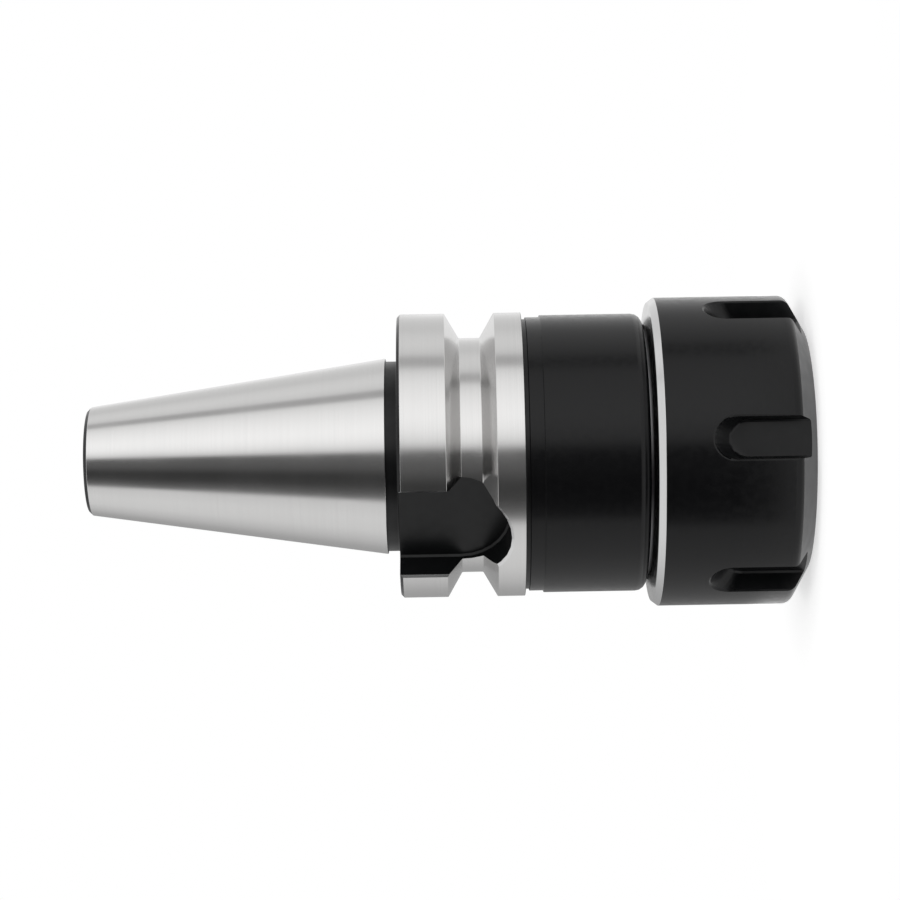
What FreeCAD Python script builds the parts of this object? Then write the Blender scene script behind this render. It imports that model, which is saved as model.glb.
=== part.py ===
# Collet chuck holder: steep-taper shank with gripper flange, spring collet and slotted clamping nut.
#
# The assembly stands on the nut's front face, with its turning axis on +Z and the taper pointing up.
# The two drive slots of the flange face +Y and -Y.
# Lengths are in millimetres and angles in degrees.
# A "station" is measured from the taper's gauge line towards the nut.
import FreeCAD
import Part
import math
import os
import Sketcher
from FreeCAD import Placement, Rotation, Vector

doc = FreeCAD.newDocument("ColletChuckHolder")

# ---------------------------------------------------------------- driving dimensions
sheet = doc.addObject("Spreadsheet::Sheet", "Dimensions")

DRIVING = [
    # taper shank
    ("gauge_diameter", 31.75, "taper diameter at the gauge line"),
    ("taper_length", 48.4, "gauge line to the small end"),
    ("taper_ratio", 0.2916667, "diameter lost for each millimetre of length, 7 in 24"),
    ("small_end_chamfer", 0.6, "edge break round the small end"),
    ("pilot_diameter", 12.5, "pilot bore for the retention stud"),
    ("pilot_depth", 7.0, "depth of the pilot bore"),
    ("pilot_chamfer", 0.8, "entry chamfer of the pilot bore"),
    ("tap_drill_diameter", 10.2, "tapped hole for the retention stud and bore through to the socket"),
    ("neck_diameter", 30.8, "black neck between the taper and the flange"),
    # gripper flange
    ("flange_station", 2.0, "gauge line to the flange's rear face"),
    ("flange_width", 20.0, "rear face to front face of the flange"),
    ("flange_diameter", 46.0, "flange outside diameter"),
    ("flange_chamfer", 0.5, "edge break on the flange's rear rim"),
    ("groove_station", 13.6, "gauge line to the middle of the gripper groove"),
    ("groove_width", 8.0, "gripper groove width at the flange diameter"),
    ("groove_root_diameter", 38.0, "gripper groove root"),
    ("groove_half_angle", 30.0, "slope of each side of the gripper groove"),
    ("drive_slot_width", 16.1, "drive key slot"),
    ("drive_slot_floor", 16.3, "chuck axis to the floor of a drive slot"),
    ("drive_slot_length", 17.7, "flange's rear face to the round end of a drive slot"),
    ("drive_slot_chamfer", 0.4, "edge break along a drive slot on the rear land"),
    # barrel in front of the flange
    ("relief_diameter", 43.8, "grinding relief beside the flange"),
    ("relief_width", 0.7, "width of the grinding relief"),
    ("collar_diameter", 44.4, "low collar beside the flange"),
    ("collar_width", 3.0, "flange's front face to the end of the collar"),
    ("barrel_diameter", 45.0, "barrel behind the nut"),
    ("shoulder_station", 41.5, "gauge line to the barrel's end face"),
    ("shoulder_round", 1.7, "round on the barrel's end, cut as two cones"),
    # threaded nose, its thread drawn as a plain cylinder at pitch diameter
    ("nose_length", 15.65, "barrel's end face to the nose's end face"),
    ("runout_diameter", 40.0, "plain seat where the thread runs out"),
    ("runout_width", 1.2, "width of that seat"),
    ("thread_pitch_diameter", 39.03, "nose thread at its pitch line"),
    ("thread_clearance", 0.03, "radial play to each side of the pitch line"),
    ("nose_chamfer", 1.0, "lead of the nose thread"),
    ("mouth_chamfer", 0.5, "entry chamfer of the collet socket"),
    ("socket_runout", 2.0, "depth of the socket behind the collet"),
    ("socket_clearance", 0.08, "play between the collet's cone and its socket"),
    # spring collet
    ("collet_length", 40.0, "overall length of the collet"),
    ("collet_diameter", 33.0, "largest diameter, where the long cone starts"),
    ("collet_half_angle", 8.0, "slope of the long cone"),
    ("collet_bore", 16.0, "shank size that the collet holds"),
    ("collet_bore_chamfer", 0.5, "chamfer at both ends of the bore"),
    ("collet_rear_chamfer", 0.6, "edge break on the rear rim"),
    ("head_diameter", 31.8, "collet head in front of its groove"),
    ("head_cone_length", 5.0, "length of the head's clamping cone"),
    ("head_half_angle", 30.0, "slope of the clamping cone"),
    ("head_land", 0.3, "plain rim between the clamping cone and the groove"),
    ("collet_groove_width", 3.5, "groove that the nut pulls on"),
    ("collet_groove_diameter", 28.6, "floor of that groove"),
    ("saw_cut_width", 1.0, "width of each saw cut"),
    ("saw_cut_count", 8, "saw cuts from each end"),
    ("front_bridge", 5.5, "metal left in front of the rear saw cuts"),
    ("rear_bridge", 4.0, "metal left behind the front saw cuts"),
    ("collet_recess", 0.5, "nut's front face to the collet's front face"),
    # clamping nut
    ("nut_diameter", 50.0, "nut outside diameter"),
    ("nut_length", 25.6, "nut overall length"),
    ("nut_gap", 0.35, "barrel's end face to the back of the nut"),
    ("nut_face_diameter", 39.2, "flat ring on the nut's front face"),
    ("nut_front_angle", 30.0, "slope of the nut's front cone from its face"),
    ("nut_front_edge", 0.4, "edge break between the front cone and the outside"),
    ("rear_chamfer_depth", 0.8, "bright rear chamfer, measured along the radius"),
    ("rear_chamfer_height", 1.05, "bright rear chamfer, measured along the axis"),
    ("rear_face_angle", 9.5, "slope of the bright rear face"),
    ("counterbore_diameter", 41.4, "entry counterbore of the nut"),
    ("counterbore_depth", 1.0, "depth of the entry counterbore"),
    ("thread_lap", 0.65, "how far the nose reaches past the nut's thread"),
    ("thread_relief_diameter", 40.4, "relief at the end of the nut's thread"),
    ("lip_width", 2.2, "extraction lip that sits in the collet's groove"),
    ("lip_play", 0.3, "play between the lip and the collet's head"),
    ("lip_bore", 32.5, "off-centre opening of the lip"),
    ("lip_offset", 0.75, "how far that opening lies off the axis"),
    ("lip_undercut_diameter", 34.4, "undercut in front of the lip"),
    ("lip_undercut_width", 1.3, "width of that undercut"),
    ("nut_cone_clearance", 0.1, "play between the nut's cone and the collet's head"),
    ("nut_hole_clearance", 0.15, "play round the collet's face"),
    ("nut_hole_chamfer", 0.25, "edge break round the nut's front hole"),
    ("spanner_slot_count", 6, "spanner slots round the nut"),
    ("spanner_slot_width", 6.8, "slot width at the nut's outside"),
    ("spanner_floor_width", 5.85, "slot width at its floor"),
    ("spanner_slot_depth", 3.5, "nut's outside to the slot floor"),
    ("spanner_slot_length", 16.6, "nut's front face to the slot's end, at the outside"),
    ("spanner_floor_length", 13.9, "nut's front face to the slot's end, at the floor"),
    ("cutter_overrun", 0.5, "how far a cut is carried past the metal"),
    ("nut_turn", 9.8, "turn of the nut's first slot from +X, as screwed home"),
]

for row, (alias, value, meaning) in enumerate(DRIVING, start=1):
    sheet.set("A%d" % row, meaning)
    sheet.set("B%d" % row, str(value))
    sheet.setAlias("B%d" % row, alias)
doc.recompute()


def d(alias):
    """The expression that reads one driving dimension."""
    return "Dimensions." + alias


def value_of(expression):
    """What an expression comes to now, as a plain number."""
    found = sheet.evalExpression(expression)
    return float(getattr(found, "Value", found))


# ---------------------------------------------------------------- shared stations and radii
# Heights above the table of the gauge line and of the nose's end face.
GAUGE_HEIGHT = "({} + {} + {})".format(d("shoulder_station"), d("nut_gap"), d("nut_length"))
NOSE_STATION = "({} + {})".format(d("shoulder_station"), d("nose_length"))
NOSE_HEIGHT = "({} - {})".format(GAUGE_HEIGHT, NOSE_STATION)
FLANGE_FRONT = "({} + {})".format(d("flange_station"), d("flange_width"))

# The collet's long cone starts this far behind the collet's front face.
HEAD_LENGTH = "({} + {} + {})".format(d("head_cone_length"), d("head_land"), d("collet_groove_width"))
FACE_RADIUS = "({} / 2 - {} * tan({}))".format(
    d("head_diameter"), d("head_cone_length"), d("head_half_angle")
)


# The nut's extraction lip sits behind the collet's head.
LIP_FOOT = "({} + {} + {} + {})".format(
    d("collet_recess"), d("head_cone_length"), d("head_land"), d("lip_play")
)
LIP_TOP = "({} + {})".format(LIP_FOOT, d("lip_width"))


def collet_cone(height):
    """Radius of the collet's long cone at a height above the collet's front face."""
    return "({} / 2 - (({}) - {}) * tan({}))".format(
        d("collet_diameter"), height, HEAD_LENGTH, d("collet_half_angle")
    )


def socket_cone(station):
    """Radius of the holder's socket at a station, the collet's cone and its clearance."""
    height = "{} - ({}) - {}".format(GAUGE_HEIGHT, station, d("collet_recess"))
    return "({} + {} / cos({}))".format(
        collet_cone(height), d("socket_clearance"), d("collet_half_angle")
    )


def nut_cone(height):
    """Radius of the nut's clamping cone at a height above the nut's front face."""
    return "({} + (({}) - {}) * tan({}) + {} / cos({}))".format(
        FACE_RADIUS,
        height,
        d("collet_recess"),
        d("head_half_angle"),
        d("nut_cone_clearance"),
        d("head_half_angle"),
    )


# ---------------------------------------------------------------- modelling helpers
def new_body(name, label):
    body = doc.addObject("PartDesign::Body", name)
    body.Label = label
    return body


def origin_feature(body, role):
    return [feature for feature in body.Origin.OriginFeatures if feature.Role == role][0]


def new_sketch(body, name, role, offset=None):
    """A sketch on one of the body's own planes, moved along that plane's normal by an expression."""
    sketch = body.newObject("Sketcher::SketchObject", name)
    sketch.AttachmentSupport = [(origin_feature(body, role), "")]
    sketch.MapMode = "FlatFace"
    if offset:
        sketch.setExpression(".AttachmentOffset.Base.z", offset)
    return sketch


def pin_point(sketch, geometry, end, name, across, up):
    """Dimension one end of a sketch element from the sketch's origin, across and up."""
    for kind, expression in (("DistanceX", across), ("DistanceY", up)):
        number = value_of(expression)
        if abs(number) < 1e-9:
            axis = -2 if kind == "DistanceX" else -1
            sketch.addConstraint(Sketcher.Constraint("PointOnObject", geometry, end, axis))
            continue
        index = sketch.addConstraint(Sketcher.Constraint(kind, -1, 1, geometry, end, number))
        label = name + ("Across" if kind == "DistanceX" else "Up")
        sketch.renameConstraint(index, label)
        sketch.setExpression("Constraints." + label, expression)


def closed_outline(sketch, corners):
    """Straight lines from corner to corner. A corner is a name, a distance across and a distance up."""
    places = [Vector(value_of(across), value_of(up), 0) for _, across, up in corners]
    count = len(corners)
    for i in range(count):
        sketch.addGeometry(Part.LineSegment(places[i], places[(i + 1) % count]), False)
    for i in range(count):
        sketch.addConstraint(Sketcher.Constraint("Coincident", i, 2, (i + 1) % count, 1))
    for i, (name, across, up) in enumerate(corners):
        pin_point(sketch, i, 1, name, across, up)


def round_ended_slot(sketch, width, open_end, round_end):
    """A slot outline, centred across, from its open end up or down to a half-round end."""
    half = value_of(width) / 2
    start = value_of(open_end)
    finish = value_of(round_end)
    sense = 1 if finish > start else -1
    centre = Vector(0, finish - sense * half, 0)
    side_a = Vector(-half, centre.y, 0)
    side_b = Vector(half, centre.y, 0)
    corner_a = Vector(-half, start, 0)
    corner_b = Vector(half, start, 0)
    first_angle = 0 if sense > 0 else math.pi
    circle = Part.Circle(centre, Vector(0, 0, 1), half)
    sketch.addGeometry(Part.LineSegment(corner_a, side_a), False)
    sketch.addGeometry(Part.ArcOfCircle(circle, first_angle, first_angle + math.pi), False)
    sketch.addGeometry(Part.LineSegment(side_b, corner_b), False)
    sketch.addGeometry(Part.LineSegment(corner_b, corner_a), False)
    arc_at_a, arc_at_b = (2, 1) if sense > 0 else (1, 2)
    sketch.addConstraint(Sketcher.Constraint("Coincident", 0, 2, 1, arc_at_a))
    sketch.addConstraint(Sketcher.Constraint("Coincident", 1, arc_at_b, 2, 1))
    sketch.addConstraint(Sketcher.Constraint("Coincident", 2, 2, 3, 1))
    sketch.addConstraint(Sketcher.Constraint("Coincident", 3, 2, 0, 1))
    centre_up = "({}) - ({}) * ({}) / 2".format(round_end, sense, width)
    half_width = "({}) / 2".format(width)
    pin_point(sketch, 0, 1, "cornerA", "-" + half_width, open_end)
    pin_point(sketch, 0, 2, "sideA", "-" + half_width, centre_up)
    pin_point(sketch, 2, 1, "sideB", half_width, centre_up)
    pin_point(sketch, 2, 2, "cornerB", half_width, open_end)
    index = sketch.addConstraint(Sketcher.Constraint("DistanceY", -1, 1, 1, 3, centre.y))
    sketch.renameConstraint(index, "centreUp")
    sketch.setExpression("Constraints.centreUp", centre_up)


def turn(body, name, sketch):
    """Revolve a half section once round the body's Z axis."""
    feature = body.newObject("PartDesign::Revolution", name)
    feature.Profile = sketch
    feature.ReferenceAxis = (sketch, ["V_Axis"])
    feature.Angle = 360
    doc.recompute()
    return feature


def break_edges(body, name, base, edges, size):
    """A chamfer of one bound size along some edges of a feature."""
    if not edges:
        raise RuntimeError(name + " finds no edge to work on")
    chamfer = body.newObject("PartDesign::Chamfer", name)
    chamfer.Base = (base, edges)
    chamfer.Size = value_of(size)
    chamfer.setExpression("Size", size)
    doc.recompute()
    return chamfer


def cut_all_round(body, name, cut, count):
    """Repeat a cut round the Z axis, and check that each copy took metal away."""
    pattern = body.newObject("PartDesign::PolarPattern", name)
    pattern.Originals = [cut]
    pattern.Refine = False
    pattern.Axis = (origin_feature(body, "Z_Axis"), [""])
    pattern.Angle = 360
    pattern.Occurrences = int(value_of(count))
    pattern.setExpression("Occurrences", count)
    body.Tip = pattern
    doc.recompute()
    if not pattern.Shape.Volume < cut.Shape.Volume:
        raise RuntimeError(name + " cuts nothing")
    return pattern


# ---------------------------------------------------------------- holder body
def holder_section(body):
    """Half section of the holder, its gauge line at height 0 and the taper above it."""
    groove_side = "({} - {}) / 2 * tan({})".format(
        d("flange_diameter"), d("groove_root_diameter"), d("groove_half_angle")
    )
    groove_back = "({} - {} / 2)".format(d("groove_station"), d("groove_width"))
    groove_front = "({} + {} / 2)".format(d("groove_station"), d("groove_width"))
    thread_radius = "({} / 2 - {})".format(d("thread_pitch_diameter"), d("thread_clearance"))
    relief_end = "({} + {})".format(FLANGE_FRONT, d("relief_width"))
    collar_end = "({} + {})".format(FLANGE_FRONT, d("collar_width"))
    round_step = "({} * (1 - cos(45)))".format(d("shoulder_round"))
    shoulder_radius = "({} / 2 - {})".format(d("barrel_diameter"), d("shoulder_round"))
    shoulder_back = "({} - {})".format(d("shoulder_station"), d("shoulder_round"))
    shoulder_middle = "({} - {})".format(d("shoulder_station"), round_step)
    runout_end = "({} + {})".format(d("shoulder_station"), d("runout_width"))
    mouth_station = "({} - {})".format(NOSE_STATION, d("mouth_chamfer"))
    socket_floor = "({} - {} - {} - {})".format(
        GAUGE_HEIGHT, d("collet_recess"), d("collet_length"), d("socket_runout")
    )
    chamfer_height = "({} - {})".format(d("taper_length"), d("small_end_chamfer"))
    pilot_floor = "({} - {})".format(d("taper_length"), d("pilot_depth"))

    def taper_radius(height):
        return "({} / 2 - ({}) * {} / 2)".format(d("gauge_diameter"), height, d("taper_ratio"))

    def radius(alias):
        return d(alias) + " / 2"

    def below(station):
        return "-({})".format(station)

    corners = [
        ("smallEndInner", radius("pilot_diameter") + " + " + d("pilot_chamfer"), d("taper_length")),
        ("smallEndOuter", taper_radius(chamfer_height) + " - " + d("small_end_chamfer"), d("taper_length")),
        ("taperTop", taper_radius(chamfer_height), chamfer_height),
        ("gaugeLine", radius("gauge_diameter"), "0"),
        ("neckTop", radius("neck_diameter"), "0"),
        ("neckFoot", radius("neck_diameter"), below(d("flange_station"))),
        (
            "flangeRear",
            radius("flange_diameter") + " - " + d("flange_chamfer"),
            below(d("flange_station")),
        ),
        (
            "flangeRim",
            radius("flange_diameter"),
            below(d("flange_station") + " + " + d("flange_chamfer")),
        ),
        ("grooveBackRim", radius("flange_diameter"), below(groove_back)),
        ("grooveBackRoot", radius("groove_root_diameter"), below(groove_back + " + " + groove_side)),
        ("grooveFrontRoot", radius("groove_root_diameter"), below(groove_front + " - " + groove_side)),
        ("grooveFrontRim", radius("flange_diameter"), below(groove_front)),
        ("flangeFront", radius("flange_diameter"), below(FLANGE_FRONT)),
        ("reliefBack", radius("relief_diameter"), below(FLANGE_FRONT)),
        ("reliefFront", radius("relief_diameter"), below(relief_end)),
        ("collarBack", radius("collar_diameter"), below(relief_end)),
        ("collarFront", radius("collar_diameter"), below(collar_end)),
        ("barrelBack", radius("barrel_diameter"), below(collar_end)),
        ("barrelFront", radius("barrel_diameter"), below(shoulder_back)),
        ("shoulderMiddle", radius("barrel_diameter") + " - " + round_step, below(shoulder_middle)),
        ("shoulderInner", shoulder_radius, below(d("shoulder_station"))),
        ("runoutBack", radius("runout_diameter"), below(d("shoulder_station"))),
        ("runoutFront", radius("runout_diameter"), below(runout_end)),
        ("threadBack", thread_radius, below(runout_end)),
        ("threadFront", thread_radius, below(NOSE_STATION + " - " + d("nose_chamfer"))),
        ("noseOuter", thread_radius + " - " + d("nose_chamfer"), below(NOSE_STATION)),
        ("mouthOuter", socket_cone(mouth_station) + " + " + d("mouth_chamfer"), below(NOSE_STATION)),
        ("mouthInner", socket_cone(mouth_station), below(mouth_station)),
        ("socketFloorOuter", socket_cone(socket_floor), below(socket_floor)),
        ("socketFloorInner", radius("tap_drill_diameter"), below(socket_floor)),
        ("tapTop", radius("tap_drill_diameter"), pilot_floor),
        ("pilotFloor", radius("pilot_diameter"), pilot_floor),
        ("pilotTop", radius("pilot_diameter"), d("taper_length") + " - " + d("pilot_chamfer")),
    ]
    sketch = new_sketch(body, "HolderSection", "XZ_Plane")
    closed_outline(sketch, corners)
    return sketch


def drive_slot(body, base):
    """One drive slot, milled from its floor outwards on the -Y side."""
    sketch = new_sketch(body, "DriveSlotOutline", "XZ_Plane", d("drive_slot_floor"))
    slot_end = "-({} + {})".format(d("flange_station"), d("drive_slot_length"))
    slot_mouth = "-({} / 2)".format(d("flange_station"))
    round_ended_slot(sketch, d("drive_slot_width"), slot_mouth, slot_end)
    pocket = body.newObject("PartDesign::Pocket", "DriveSlot")
    pocket.Profile = sketch
    pocket.Reversed = True
    pocket.setExpression("Length", d("flange_diameter") + " / 2")
    doc.recompute()
    if not pocket.Shape.Volume < base.Shape.Volume:
        raise RuntimeError("the drive slot cuts nothing")
    return pocket


def land_edges(feature):
    """Straight edges of the drive slots along the flange's rear land."""
    rim = value_of(d("flange_diameter")) / 2
    half_width = value_of(d("drive_slot_width")) / 2
    rear = -value_of(d("flange_station"))
    names = []
    for number, edge in enumerate(feature.Shape.Edges, start=1):
        ends = [vertex.Point for vertex in edge.Vertexes]
        if len(ends) != 2 or not isinstance(edge.Curve, Part.Line):
            continue
        on_rim = all(abs(Vector(p.x, p.y, 0).Length - rim) < 1e-4 for p in ends)
        on_side = all(abs(abs(p.x) - half_width) < 1e-4 for p in ends)
        at_rear = max(p.z for p in ends) > rear - 1.0
        if on_rim and on_side and at_rear:
            names.append("Edge%d" % number)
    return names


def make_holder_body():
    body = new_body("HolderBody", "holder_body")
    turned = turn(body, "HolderTurning", holder_section(body))
    slot = drive_slot(body, turned)
    slots = cut_all_round(body, "DriveSlots", slot, "2")
    break_edges(body, "DriveSlotEdges", slots, land_edges(slots), d("drive_slot_chamfer"))
    body.setExpression(".Placement.Base.z", GAUGE_HEIGHT)
    return body


# ---------------------------------------------------------------- spring collet
def collet_section(body):
    """Half section of the collet, its front face at height 0."""
    bore = "({} / 2)".format(d("collet_bore"))
    rim = "({} + {})".format(d("head_cone_length"), d("head_land"))
    rear_cone = "({} - {})".format(d("collet_length"), d("collet_rear_chamfer"))
    corners = [
        ("faceInner", bore + " + " + d("collet_bore_chamfer"), "0"),
        ("faceOuter", FACE_RADIUS, "0"),
        ("headFront", d("head_diameter") + " / 2", d("head_cone_length")),
        ("headBack", d("head_diameter") + " / 2", rim),
        ("grooveFront", d("collet_groove_diameter") + " / 2", rim),
        ("grooveBack", d("collet_groove_diameter") + " / 2", HEAD_LENGTH),
        ("coneFront", d("collet_diameter") + " / 2", HEAD_LENGTH),
        ("coneBack", collet_cone(rear_cone), rear_cone),
        ("rearOuter", collet_cone(rear_cone) + " - " + d("collet_rear_chamfer"), d("collet_length")),
        ("rearInner", bore + " + " + d("collet_bore_chamfer"), d("collet_length")),
        ("boreBack", bore, d("collet_length") + " - " + d("collet_bore_chamfer")),
        ("boreFront", bore, d("collet_bore_chamfer")),
    ]
    sketch = new_sketch(body, "ColletSection", "XZ_Plane")
    closed_outline(sketch, corners)
    return sketch


def saw_cuts(body, name, base, low, high, first_turn):
    """One set of radial saw cuts, the first turned from +X, then repeated all round."""
    sketch = new_sketch(body, name + "Outline", "YZ_Plane")
    sketch.AttachmentOffset = Placement(Vector(0, 0, 0), Rotation(Vector(0, 1, 0), value_of(first_turn)))
    sketch.setExpression(".AttachmentOffset.Rotation.Angle", first_turn)
    half = d("saw_cut_width") + " / 2"
    outline = [
        ("lowLeft", "-" + half, low),
        ("lowRight", half, low),
        ("highRight", half, high),
        ("highLeft", "-" + half, high),
    ]
    closed_outline(sketch, outline)
    pocket = body.newObject("PartDesign::Pocket", name + "First")
    pocket.Profile = sketch
    pocket.Reversed = True
    pocket.setExpression("Length", d("collet_diameter") + " / 2 + " + d("cutter_overrun"))
    doc.recompute()
    if not pocket.Shape.Volume < base.Shape.Volume:
        raise RuntimeError(name + " cuts nothing")
    return cut_all_round(body, name, pocket, d("saw_cut_count"))


def make_collet():
    body = new_body("Collet", "collet")
    turned = turn(body, "ColletTurning", collet_section(body))
    front_end = "-" + d("cutter_overrun")
    front_depth = d("collet_length") + " - " + d("rear_bridge")
    front_cuts = saw_cuts(body, "FrontCuts", turned, front_end, front_depth, "0")
    rear_end = d("collet_length") + " + " + d("cutter_overrun")
    half_step = "180 / " + d("saw_cut_count")
    saw_cuts(body, "RearCuts", front_cuts, d("front_bridge"), rear_end, half_step)
    body.setExpression(".Placement.Base.z", d("collet_recess"))
    return body


# ---------------------------------------------------------------- clamping nut
def nut_section(body):
    """Half section of the nut, its front face at height 0 and its lip still concentric."""
    outer = "({} / 2)".format(d("nut_diameter"))
    face = "({} / 2)".format(d("nut_face_diameter"))
    hole = "({} + {})".format(FACE_RADIUS, d("nut_hole_clearance"))
    hole_top = "({} + ({} - {} / cos({})) / tan({}))".format(
        d("collet_recess"),
        d("nut_hole_clearance"),
        d("nut_cone_clearance"),
        d("head_half_angle"),
        d("head_half_angle"),
    )
    slope = d("nut_front_angle")
    edge = d("nut_front_edge")
    cone_foot = "({} - {}) * tan({})".format(outer, face, slope)
    cone_outer = "({} - {} * sin({}))".format(cone_foot, edge, slope)
    rear_outer = "({} - {})".format(outer, d("rear_chamfer_depth"))
    counterbore = "({} / 2)".format(d("counterbore_diameter"))
    rear_drop = "({} - {}) * tan({})".format(rear_outer, counterbore, d("rear_face_angle"))
    rear_edge = "({} - {})".format(d("nut_length"), rear_drop)
    counterbore_floor = "({} - {})".format(d("nut_length"), d("counterbore_depth"))
    thread = "({} / 2 + {})".format(d("thread_pitch_diameter"), d("thread_clearance"))
    thread_end = "({} + {})".format(NOSE_HEIGHT, d("thread_lap"))
    relief = "({} / 2)".format(d("thread_relief_diameter"))
    undercut = "({} / 2)".format(d("lip_undercut_diameter"))
    undercut_foot = "({} - {})".format(LIP_FOOT, d("lip_undercut_width"))
    blank_lip = "({} / 2 - {} - {})".format(d("lip_bore"), d("lip_offset"), d("cutter_overrun"))
    corners = [
        ("faceInner", hole + " + " + d("nut_hole_chamfer"), "0"),
        ("faceOuter", face, "0"),
        ("coneOuter", "({} - {} * cos({}))".format(outer, edge, slope), cone_outer),
        ("rimFoot", outer, cone_foot + " + " + edge),
        ("rearChamferFoot", outer, rear_edge + " - " + d("rear_chamfer_height")),
        ("rearChamferTop", rear_outer, rear_edge),
        ("rearInner", counterbore, d("nut_length")),
        ("counterboreFloor", counterbore, counterbore_floor),
        ("threadTop", thread, counterbore_floor),
        ("threadFoot", thread, thread_end),
        ("reliefTop", relief, thread_end),
        ("reliefFoot", relief, LIP_TOP),
        ("lipTop", blank_lip, LIP_TOP),
        ("lipFoot", blank_lip, LIP_FOOT),
        ("undercutTop", undercut, LIP_FOOT),
        ("undercutFoot", undercut, undercut_foot),
        ("coneTop", nut_cone(undercut_foot), undercut_foot),
        ("coneEnd", hole, hole_top),
        ("holeFoot", hole, d("nut_hole_chamfer")),
    ]
    sketch = new_sketch(body, "NutSection", "XZ_Plane")
    closed_outline(sketch, corners)
    return sketch


def eccentric_lip(body, base):
    """Bore the lip off centre, so that one side of it reaches over the collet's head."""
    sketch = new_sketch(body, "LipOpening", "XY_Plane", LIP_TOP + " + " + d("cutter_overrun"))
    radius = "({} / 2)".format(d("lip_bore"))
    centre = Vector(value_of(d("lip_offset")), 0, 0)
    sketch.addGeometry(Part.Circle(centre, Vector(0, 0, 1), value_of(radius)), False)
    pin_point(sketch, 0, 3, "opening", d("lip_offset"), "0")
    index = sketch.addConstraint(Sketcher.Constraint("Radius", 0, value_of(radius)))
    sketch.renameConstraint(index, "openingRadius")
    sketch.setExpression("Constraints.openingRadius", radius)
    pocket = body.newObject("PartDesign::Pocket", "EccentricLip")
    pocket.Profile = sketch
    pocket.setExpression("Length", d("lip_width") + " + 2 * " + d("cutter_overrun"))
    doc.recompute()
    if not pocket.Shape.Volume < base.Shape.Volume:
        raise RuntimeError("the lip's opening cuts nothing")
    return pocket


def spanner_slot(body, base):
    """One spanner slot: walls lean outwards and the round end runs out towards the outside."""
    depth = "({})".format(d("spanner_slot_depth"))
    floor = "({} / 2 - {})".format(d("nut_diameter"), depth)
    reach = "(({} + {}) / {})".format(depth, d("cutter_overrun"), depth)

    def carried_out(at_floor, at_outside):
        return "({} + ({} - {}) * {})".format(at_floor, at_outside, at_floor, reach)

    front = "-2 * " + d("cutter_overrun")
    floor_sketch = new_sketch(body, "SpannerFloor", "XZ_Plane", floor)
    round_ended_slot(floor_sketch, d("spanner_floor_width"), front, d("spanner_floor_length"))
    outer_plane = "{} / 2 + {}".format(d("nut_diameter"), d("cutter_overrun"))
    outer_sketch = new_sketch(body, "SpannerMouth", "XZ_Plane", outer_plane)
    outer_width = carried_out(d("spanner_floor_width"), d("spanner_slot_width"))
    outer_length = carried_out(d("spanner_floor_length"), d("spanner_slot_length"))
    round_ended_slot(outer_sketch, outer_width, front, outer_length)
    doc.recompute()
    slot = body.newObject("PartDesign::SubtractiveLoft", "SpannerSlot")
    slot.Profile = floor_sketch
    slot.Sections = [outer_sketch]
    slot.Ruled = True
    slot.Refine = False
    doc.recompute()
    if not slot.Shape.Volume < base.Shape.Volume:
        raise RuntimeError("the spanner slot cuts nothing")
    return slot


def make_nut():
    body = new_body("ClampingNut", "clamping_nut")
    turned = turn(body, "NutTurning", nut_section(body))
    opened = eccentric_lip(body, turned)
    slot = spanner_slot(body, opened)
    cut_all_round(body, "SpannerSlots", slot, d("spanner_slot_count"))
    home = d("nut_turn") + " + 90"
    body.Placement = Placement(Vector(0, 0, 0), Rotation(Vector(0, 0, 1), value_of(home)))
    body.setExpression(".Placement.Rotation.Angle", home)
    return body


# ---------------------------------------------------------------- build and write
nodes = [make_holder_body(), make_collet(), make_nut()]
doc.recompute()

for item in doc.Objects:
    if "Invalid" in item.State or "Error" in item.State:
        raise RuntimeError(item.Name + " does not compute")

os.makedirs("parts", exist_ok=True)
for node in nodes:
    if node.Shape.isNull() or not node.Shape.isValid():
        raise RuntimeError(node.Label + " is not a sound solid")
    node.Shape.exportStep("parts/" + node.Label + ".step")
    box = node.Shape.optimalBoundingBox(False)
    print(node.Label, round(node.Shape.Volume), "mm3, from", round(box.ZMin, 2), "to", round(box.ZMax, 2))
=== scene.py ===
import bmesh
import bpy
import math
from mathutils import Matrix, Vector


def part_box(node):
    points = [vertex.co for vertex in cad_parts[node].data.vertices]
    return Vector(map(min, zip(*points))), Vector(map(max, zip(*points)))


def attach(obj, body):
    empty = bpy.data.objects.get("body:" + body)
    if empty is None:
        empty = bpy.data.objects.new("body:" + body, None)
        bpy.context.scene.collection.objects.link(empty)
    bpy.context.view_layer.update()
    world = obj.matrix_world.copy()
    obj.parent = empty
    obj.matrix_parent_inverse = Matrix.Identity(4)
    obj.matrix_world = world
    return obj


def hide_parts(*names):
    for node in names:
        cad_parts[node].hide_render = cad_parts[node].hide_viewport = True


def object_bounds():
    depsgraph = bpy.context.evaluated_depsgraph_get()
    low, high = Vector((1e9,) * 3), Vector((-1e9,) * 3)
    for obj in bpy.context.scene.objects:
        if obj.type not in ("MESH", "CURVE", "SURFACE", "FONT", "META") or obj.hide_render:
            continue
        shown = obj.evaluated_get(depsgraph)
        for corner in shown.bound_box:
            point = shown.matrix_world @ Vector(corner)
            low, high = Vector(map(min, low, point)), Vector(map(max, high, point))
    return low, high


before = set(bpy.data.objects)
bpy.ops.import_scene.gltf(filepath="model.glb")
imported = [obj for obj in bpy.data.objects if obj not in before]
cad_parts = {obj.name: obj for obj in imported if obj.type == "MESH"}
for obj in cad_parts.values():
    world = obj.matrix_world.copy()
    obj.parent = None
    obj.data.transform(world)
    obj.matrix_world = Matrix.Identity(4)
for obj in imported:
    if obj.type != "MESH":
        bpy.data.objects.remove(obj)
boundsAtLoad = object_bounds()
mm = 0.001
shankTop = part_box("holder_body")[1][2] / mm  # small end of the taper, in millimetres above the table
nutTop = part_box("clamping_nut")[1][2] / mm
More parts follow.
